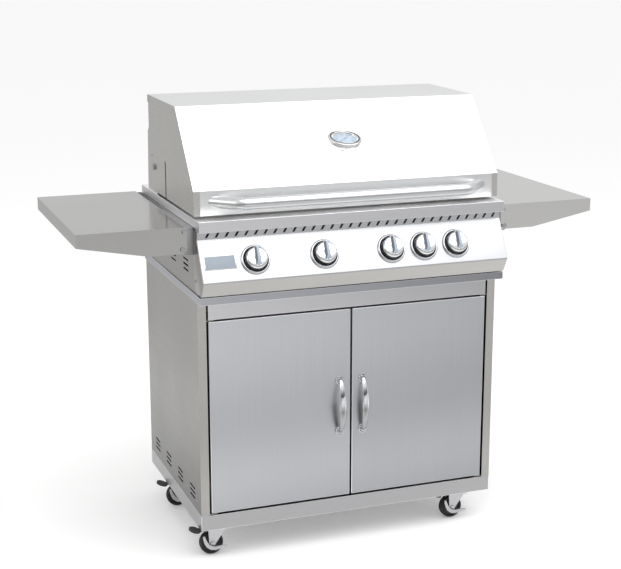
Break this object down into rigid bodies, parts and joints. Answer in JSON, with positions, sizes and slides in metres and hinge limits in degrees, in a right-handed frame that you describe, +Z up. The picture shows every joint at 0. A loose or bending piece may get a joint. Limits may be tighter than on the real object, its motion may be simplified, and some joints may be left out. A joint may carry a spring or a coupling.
{
  "type": "gas barbecue grill",
  "caption": "Free-standing stainless gas barbecue: hinged hood with gauge, control panel with push-and-turn knobs, folding side shelves, two-door cabinet on braked casters.",
  "frame": {"origin": "centre of the footprint at floor level, under the middle of the overall box", "axes": "+X to the right seen from the front, +Y from the doors to the back, +Z up"},
  "size_m": [1.38, 0.641, 1.1425],
  "materials": {
    "stainless": "brushed",
    "stainless_dark": "satin",
    "chrome": "polished",
    "zinc": "satin",
    "aluminised": "satin",
    "cast_iron": "matt",
    "ceramic": "matt",
    "brass": "satin",
    "black_plastic": "matt",
    "tyre": "matt",
    "badge": "satin"
  },
  "bodies": {
    "grill": {"cart_base": "stainless", "side_panel_left": "stainless", "side_panel_right": "stainless", "cart_rear_panel": "stainless", "front_header": "stainless", "cart_rim": "stainless", "head_side_left": "stainless", "head_side_right": "stainless", "head_rear_panel": "stainless", "top_rail": "stainless", "control_panel": "stainless", "badge_plate": "badge", "gas_manifold": "aluminised", "firebox": "stainless_dark", "burner_set": "stainless_dark", "flame_tamer_rack": "stainless_dark", "cooking_grate_left": "cast_iron", "cooking_grate_right": "cast_iron", "warming_rack": "chrome", "rear_housing": "stainless", "rear_burner": "ceramic", "hood_pivot_left": "zinc", "hood_pivot_right": "zinc", "shelf_bracket_left": "zinc", "shelf_bracket_right": "zinc"},
    "door_left": {"door_left": "stainless", "door_handle_left": "chrome"},
    "door_right": {"door_right": "stainless", "door_handle_right": "chrome"},
    "hood": {"hood_shell": "stainless", "hood_end_left": "stainless", "hood_end_right": "stainless", "hood_handle": "chrome", "gauge_housing": "chrome"},
    "needle": {"gauge_needle": "black_plastic"},
    "drip_tray": {"drip_tray": "aluminised"},
    "shelf_left": {"shelf_left": "stainless"},
    "shelf_right": {"shelf_right": "stainless"},
    "valve_1": {"valve_stem_1": "brass"},
    "knob_1": {"knob_1": "chrome"},
    "valve_2": {"valve_stem_2": "brass"},
    "knob_2": {"knob_2": "chrome"},
    "valve_3": {"valve_stem_3": "brass"},
    "knob_3": {"knob_3": "chrome"},
    "valve_4": {"valve_stem_4": "brass"},
    "knob_4": {"knob_4": "chrome"},
    "valve_5": {"valve_stem_5": "brass"},
    "knob_5": {"knob_5": "chrome"},
    "caster_front_left": {"fork_front_left": "zinc"},
    "wheel_front_left": {"wheel_front_left": "tyre"},
    "pedal_front_left": {"pedal_front_left": "black_plastic"},
    "caster_front_right": {"fork_front_right": "zinc"},
    "wheel_front_right": {"wheel_front_right": "tyre"},
    "pedal_front_right": {"pedal_front_right": "black_plastic"},
    "caster_back_left": {"fork_back_left": "zinc"},
    "wheel_back_left": {"wheel_back_left": "tyre"},
    "pedal_back_left": {"pedal_back_left": "black_plastic"},
    "caster_back_right": {"fork_back_right": "zinc"},
    "wheel_back_right": {"wheel_back_right": "tyre"},
    "pedal_back_right": {"pedal_back_right": "black_plastic"}
  },
  "joints": [
    {"name": "hood_hinge", "type": "hinge", "parent": "grill", "child": "hood", "pos_m": [0, 0.1605, 0.957], "axis": [-1, 0, 0], "range_deg": [0, 85]},
    {"name": "door_left_hinge", "type": "hinge", "parent": "grill", "child": "door_left", "pos_m": [-0.37, -0.2225, 0.38], "axis": [0, 0, -1], "range_deg": [0, 105]},
    {"name": "door_right_hinge", "type": "hinge", "parent": "grill", "child": "door_right", "pos_m": [0.37, -0.2225, 0.38], "axis": [0, 0, 1], "range_deg": [0, 105]},
    {"name": "valve_1_push", "type": "slide", "parent": "grill", "child": "valve_1", "axis": [0, 0.8812, -0.4727], "range_m": [0, 0.003], "stiffness_N_per_m": 900, "springref_m": -0.004},
    {"name": "knob_1_turn", "type": "hinge", "parent": "valve_1", "child": "knob_1", "pos_m": [-0.267, -0.28799, 0.79551], "axis": [0, -0.8812, 0.4727], "range_deg": [0, 180]},
    {"name": "valve_2_push", "type": "slide", "parent": "grill", "child": "valve_2", "axis": [0, 0.8812, -0.4727], "range_m": [0, 0.003], "stiffness_N_per_m": 900, "springref_m": -0.004},
    {"name": "knob_2_turn", "type": "hinge", "parent": "valve_2", "child": "knob_2", "pos_m": [-0.089, -0.28799, 0.79551], "axis": [0, -0.8812, 0.4727], "range_deg": [0, 180]},
    {"name": "valve_3_push", "type": "slide", "parent": "grill", "child": "valve_3", "axis": [0, 0.8812, -0.4727], "range_m": [0, 0.003], "stiffness_N_per_m": 900, "springref_m": -0.004},
    {"name": "knob_3_turn", "type": "hinge", "parent": "valve_3", "child": "knob_3", "pos_m": [0.089, -0.28799, 0.79551], "axis": [0, -0.8812, 0.4727], "range_deg": [0, 180]},
    {"name": "valve_4_push", "type": "slide", "parent": "grill", "child": "valve_4", "axis": [0, 0.8812, -0.4727], "range_m": [0, 0.003], "stiffness_N_per_m": 900, "springref_m": -0.004},
    {"name": "knob_4_turn", "type": "hinge", "parent": "valve_4", "child": "knob_4", "pos_m": [0.178, -0.28799, 0.79551], "axis": [0, -0.8812, 0.4727], "range_deg": [0, 180]},
    {"name": "valve_5_push", "type": "slide", "parent": "grill", "child": "valve_5", "axis": [0, 0.8812, -0.4727], "range_m": [0, 0.003], "stiffness_N_per_m": 900, "springref_m": -0.004},
    {"name": "knob_5_turn", "type": "hinge", "parent": "valve_5", "child": "knob_5", "pos_m": [0.267, -0.28799, 0.79551], "axis": [0, -0.8812, 0.4727], "range_deg": [0, 180]},
    {"name": "swivel_front_left", "type": "hinge", "parent": "grill", "child": "caster_front_left", "pos_m": [-0.34, -0.1835, 0.072], "axis": [0, 0, 1], "continuous": true},
    {"name": "roll_front_left", "type": "hinge", "parent": "caster_front_left", "child": "wheel_front_left", "pos_m": [-0.367, -0.1835, 0.0315], "axis": [0, 1, 0], "continuous": true},
    {"name": "brake_front_left", "type": "hinge", "parent": "caster_front_left", "child": "pedal_front_left", "pos_m": [-0.367, -0.1835, 0.0668], "axis": [0, -1, 0], "range_deg": [0, 8]},
    {"name": "swivel_front_right", "type": "hinge", "parent": "grill", "child": "caster_front_right", "pos_m": [0.34, -0.1835, 0.072], "axis": [0, 0, 1], "continuous": true},
    {"name": "roll_front_right", "type": "hinge", "parent": "caster_front_right", "child": "wheel_front_right", "pos_m": [0.313, -0.1835, 0.0315], "axis": [0, 1, 0], "continuous": true},
    {"name": "brake_front_right", "type": "hinge", "parent": "caster_front_right", "child": "pedal_front_right", "pos_m": [0.313, -0.1835, 0.0668], "axis": [0, -1, 0], "range_deg": [0, 8]},
    {"name": "swivel_back_left", "type": "hinge", "parent": "grill", "child": "caster_back_left", "pos_m": [-0.34, 0.1535, 0.072], "axis": [0, 0, 1], "continuous": true},
    {"name": "roll_back_left", "type": "hinge", "parent": "caster_back_left", "child": "wheel_back_left", "pos_m": [-0.367, 0.1535, 0.0315], "axis": [0, 1, 0], "continuous": true},
    {"name": "brake_back_left", "type": "hinge", "parent": "caster_back_left", "child": "pedal_back_left", "pos_m": [-0.367, 0.1535, 0.0668], "axis": [0, -1, 0], "range_deg": [0, 8]},
    {"name": "swivel_back_right", "type": "hinge", "parent": "grill", "child": "caster_back_right", "pos_m": [0.34, 0.1535, 0.072], "axis": [0, 0, 1], "continuous": true},
    {"name": "roll_back_right", "type": "hinge", "parent": "caster_back_right", "child": "wheel_back_right", "pos_m": [0.313, 0.1535, 0.0315], "axis": [0, 1, 0], "continuous": true},
    {"name": "brake_back_right", "type": "hinge", "parent": "caster_back_right", "child": "pedal_back_right", "pos_m": [0.313, 0.1535, 0.0668], "axis": [0, -1, 0], "range_deg": [0, 8]},
    {"name": "shelf_left_fold", "type": "hinge", "parent": "grill", "child": "shelf_left", "pos_m": [-0.432, 0.0485, 0.812], "axis": [0, -1, 0], "range_deg": [0, 90]},
    {"name": "shelf_right_fold", "type": "hinge", "parent": "grill", "child": "shelf_right", "pos_m": [0.432, 0.0485, 0.812], "axis": [0, 1, 0], "range_deg": [0, 90]},
    {"name": "drip_tray_slide", "type": "slide", "parent": "grill", "child": "drip_tray", "axis": [0, 1, 0], "range_m": [0, 0.35]},
    {"name": "gauge_needle_turn", "type": "hinge", "parent": "hood", "child": "needle", "pos_m": [0, -0.17749, 1.05402], "axis": [0, -0.309, 0.9511], "range_deg": [-260, 0]}
  ]
}
